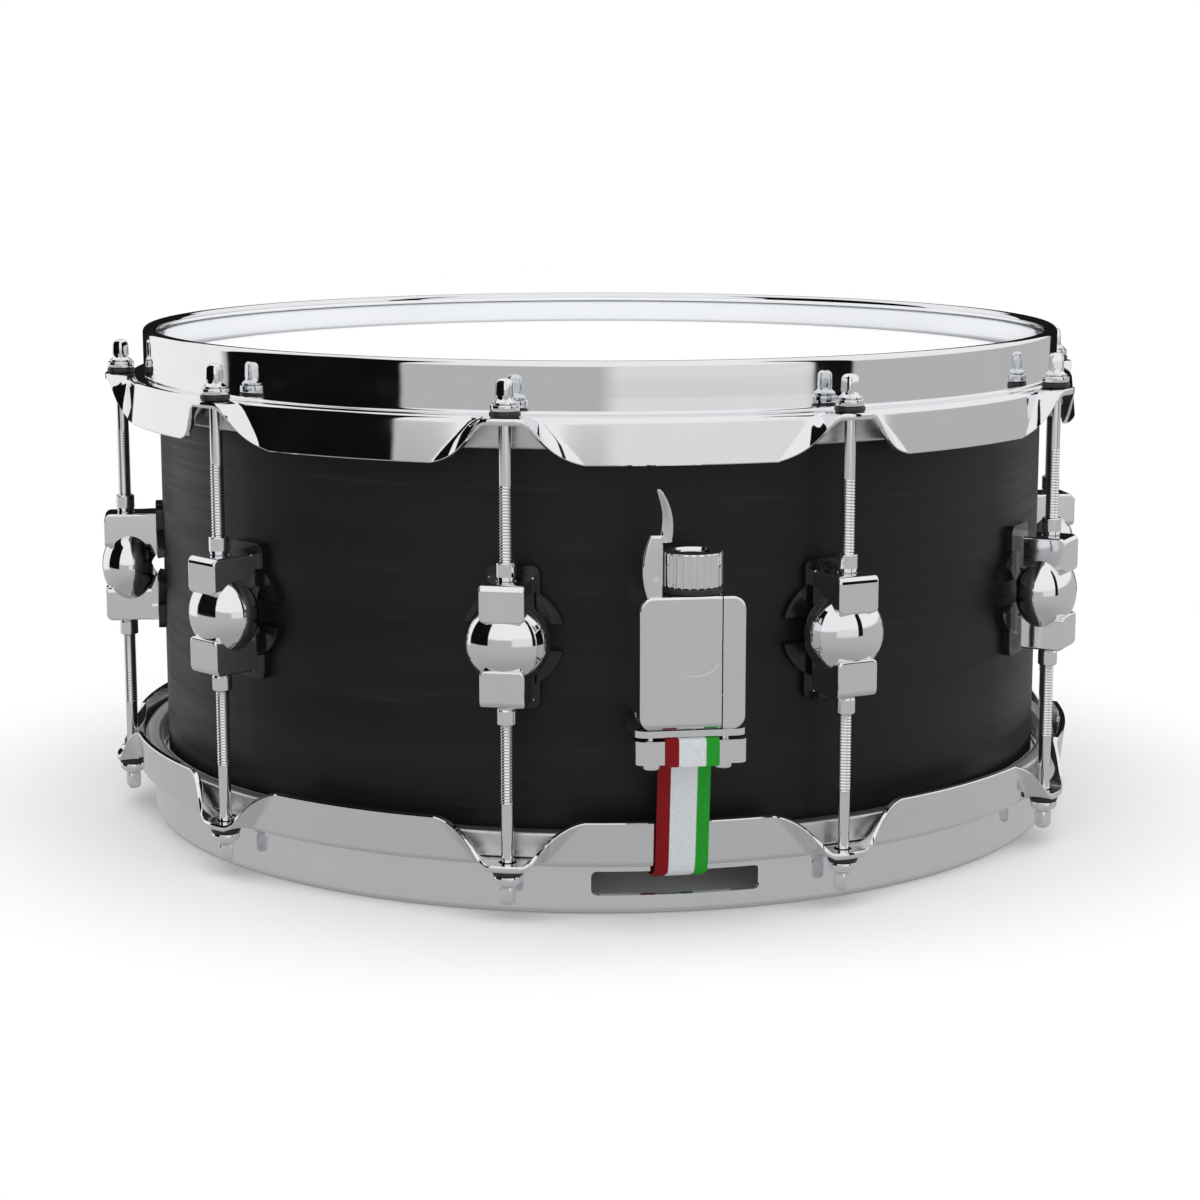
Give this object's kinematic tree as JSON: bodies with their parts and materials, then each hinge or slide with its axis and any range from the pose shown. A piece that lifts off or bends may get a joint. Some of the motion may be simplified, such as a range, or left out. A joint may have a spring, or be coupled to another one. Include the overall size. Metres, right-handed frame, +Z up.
{
  "type": "snare drum",
  "caption": "Snare drum with a satin black wooden shell, chrome hoops and lugs, coated batter head, lever throw-off and coiled snare wires on a striped strap.",
  "frame": {"origin": "on the drum's axis, in the plane that the snare-side rim rests on", "axes": "+Z up along the drum's axis towards the batter head; -Y towards the throw-off; +Y towards the butt plate"},
  "size_m": [0.4046, 0.4286, 0.1935],
  "materials": {
    "chrome": "mirror chrome plate",
    "shell_finish": "satin black hand-waxed maple",
    "coated_film": "fine sprayed white coating",
    "clear_film": "clear thin polyester film",
    "aluminium": "drawn satin",
    "black_rubber": "glossy moulded",
    "black_nylon": "moulded",
    "steel": "zinc plated",
    "brass": "machined",
    "wire": "bright drawn steel wire",
    "ribbon": "woven ribbon in three stripes"
  },
  "bodies": {
    "drum": {"batter_flesh_hoop": "aluminium", "batter_head": "coated_film", "batter_hoop": "chrome", "butt_clamp_bar": "chrome", "butt_clamp_screws": "chrome", "butt_plate": "chrome", "butt_strap": "ribbon", "lug_01": "chrome", "lug_02": "chrome", "lug_03": "chrome", "lug_04": "chrome", "lug_05": "chrome", "lug_06": "chrome", "lug_07": "chrome", "lug_08": "chrome", "lug_09": "chrome", "lug_10": "chrome", "lug_gaskets": "black_rubber", "rod_nylon_washers": "black_nylon", "rod_washers": "chrome", "shell": "shell_finish", "shell_screw_washers": "steel", "shell_screws": "steel", "snare_flesh_hoop": "aluminium", "snare_head": "clear_film", "snare_hoop": "chrome", "swivel_nuts": "chrome", "throwoff_hinge_pin": "steel", "throwoff_housing": "chrome", "throwoff_knob_washer": "black_nylon", "vent_grommet": "chrome"},
    "lever": {"throwoff_lever": "chrome"},
    "knob": {"throwoff_knob": "chrome"},
    "traveller": {"throwoff_traveller": "brass"},
    "clamp": {"throwoff_carriage": "chrome", "throwoff_clamp_bar": "chrome", "throwoff_clamp_screws": "chrome", "throwoff_strap": "ribbon"},
    "snares": {"snare_coils": "wire", "snare_end_plates": "wire"},
    "batter_rod_01": {"batter_rod_01": "chrome"},
    "batter_rod_02": {"batter_rod_02": "chrome"},
    "batter_rod_03": {"batter_rod_03": "chrome"},
    "batter_rod_04": {"batter_rod_04": "chrome"},
    "batter_rod_05": {"batter_rod_05": "chrome"},
    "batter_rod_06": {"batter_rod_06": "chrome"},
    "batter_rod_07": {"batter_rod_07": "chrome"},
    "batter_rod_08": {"batter_rod_08": "chrome"},
    "batter_rod_09": {"batter_rod_09": "chrome"},
    "batter_rod_10": {"batter_rod_10": "chrome"},
    "snare_rod_01": {"snare_rod_01": "chrome"},
    "snare_rod_02": {"snare_rod_02": "chrome"},
    "snare_rod_03": {"snare_rod_03": "chrome"},
    "snare_rod_04": {"snare_rod_04": "chrome"},
    "snare_rod_05": {"snare_rod_05": "chrome"},
    "snare_rod_06": {"snare_rod_06": "chrome"},
    "snare_rod_07": {"snare_rod_07": "chrome"},
    "snare_rod_08": {"snare_rod_08": "chrome"},
    "snare_rod_09": {"snare_rod_09": "chrome"},
    "snare_rod_10": {"snare_rod_10": "chrome"}
  },
  "joints": [
    {"name": "lever_throw", "type": "hinge", "parent": "drum", "child": "lever", "pos_m": [0, -0.2035, 0.0755], "axis": [1, 0, 0], "range_deg": [0, 90]},
    {"name": "clamp_drop", "type": "slide", "parent": "traveller", "child": "clamp", "axis": [0, 0, -1], "range_m": [0, 0.0101], "deforming": ["throwoff_strap"]},
    {"name": "snare_drop", "type": "slide", "parent": "drum", "child": "snares", "axis": [0, 0, -1], "range_m": [0, 0.00155], "deforming": ["butt_strap"]},
    {"name": "knob_turn", "type": "hinge", "parent": "drum", "child": "knob", "pos_m": [0.0016, -0.201, 0.12], "axis": [0, 0, 1], "range_deg": [-1440, 120]},
    {"name": "traveller_rise", "type": "slide", "parent": "drum", "child": "traveller", "axis": [0, 0, 1], "range_m": [-0.00279, 0.00023]},
    {"name": "batter_rod_01_turn", "type": "hinge", "parent": "drum", "child": "batter_rod_01", "pos_m": [0.05949, -0.18308, 0.1935], "axis": [0, 0, 1], "continuous": true},
    {"name": "batter_rod_02_turn", "type": "hinge", "parent": "drum", "child": "batter_rod_02", "pos_m": [0.15574, -0.11315, 0.1935], "axis": [0, 0, 1], "continuous": true},
    {"name": "batter_rod_03_turn", "type": "hinge", "parent": "drum", "child": "batter_rod_03", "pos_m": [0.1925, 0, 0.1935], "axis": [0, 0, 1], "continuous": true},
    {"name": "batter_rod_04_turn", "type": "hinge", "parent": "drum", "child": "batter_rod_04", "pos_m": [0.15574, 0.11315, 0.1935], "axis": [0, 0, 1], "continuous": true},
    {"name": "batter_rod_05_turn", "type": "hinge", "parent": "drum", "child": "batter_rod_05", "pos_m": [0.05949, 0.18308, 0.1935], "axis": [0, 0, 1], "continuous": true},
    {"name": "batter_rod_06_turn", "type": "hinge", "parent": "drum", "child": "batter_rod_06", "pos_m": [-0.05949, 0.18308, 0.1935], "axis": [0, 0, 1], "continuous": true},
    {"name": "batter_rod_07_turn", "type": "hinge", "parent": "drum", "child": "batter_rod_07", "pos_m": [-0.15574, 0.11315, 0.1935], "axis": [0, 0, 1], "continuous": true},
    {"name": "batter_rod_08_turn", "type": "hinge", "parent": "drum", "child": "batter_rod_08", "pos_m": [-0.1925, 0, 0.1935], "axis": [0, 0, 1], "continuous": true},
    {"name": "batter_rod_09_turn", "type": "hinge", "parent": "drum", "child": "batter_rod_09", "pos_m": [-0.15574, -0.11315, 0.1935], "axis": [0, 0, 1], "continuous": true},
    {"name": "batter_rod_10_turn", "type": "hinge", "parent": "drum", "child": "batter_rod_10", "pos_m": [-0.05949, -0.18308, 0.1935], "axis": [0, 0, 1], "continuous": true},
    {"name": "snare_rod_01_turn", "type": "hinge", "parent": "drum", "child": "snare_rod_01", "pos_m": [0.05949, -0.18308, 0], "axis": [0, 0, 1], "continuous": true},
    {"name": "snare_rod_02_turn", "type": "hinge", "parent": "drum", "child": "snare_rod_02", "pos_m": [0.15574, -0.11315, 0], "axis": [0, 0, 1], "continuous": true},
    {"name": "snare_rod_03_turn", "type": "hinge", "parent": "drum", "child": "snare_rod_03", "pos_m": [0.1925, 0, 0], "axis": [0, 0, 1], "continuous": true},
    {"name": "snare_rod_04_turn", "type": "hinge", "parent": "drum", "child": "snare_rod_04", "pos_m": [0.15574, 0.11315, 0], "axis": [0, 0, 1], "continuous": true},
    {"name": "snare_rod_05_turn", "type": "hinge", "parent": "drum", "child": "snare_rod_05", "pos_m": [0.05949, 0.18308, 0], "axis": [0, 0, 1], "continuous": true},
    {"name": "snare_rod_06_turn", "type": "hinge", "parent": "drum", "child": "snare_rod_06", "pos_m": [-0.05949, 0.18308, 0], "axis": [0, 0, 1], "continuous": true},
    {"name": "snare_rod_07_turn", "type": "hinge", "parent": "drum", "child": "snare_rod_07", "pos_m": [-0.15574, 0.11315, 0], "axis": [0, 0, 1], "continuous": true},
    {"name": "snare_rod_08_turn", "type": "hinge", "parent": "drum", "child": "snare_rod_08", "pos_m": [-0.1925, 0, 0], "axis": [0, 0, 1], "continuous": true},
    {"name": "snare_rod_09_turn", "type": "hinge", "parent": "drum", "child": "snare_rod_09", "pos_m": [-0.15574, -0.11315, 0], "axis": [0, 0, 1], "continuous": true},
    {"name": "snare_rod_10_turn", "type": "hinge", "parent": "drum", "child": "snare_rod_10", "pos_m": [-0.05949, -0.18308, 0], "axis": [0, 0, 1], "continuous": true}
  ],
  "couplings": [
    {"joint": "clamp_drop", "follows": "lever_throw", "m_per_rad": 0.0063662},
    {"joint": "snare_drop", "follows": "lever_throw", "m_per_rad": 0.00095493},
    {"joint": "knob_turn", "follows": "traveller_rise", "rad_per_m": 8976}
  ]
}
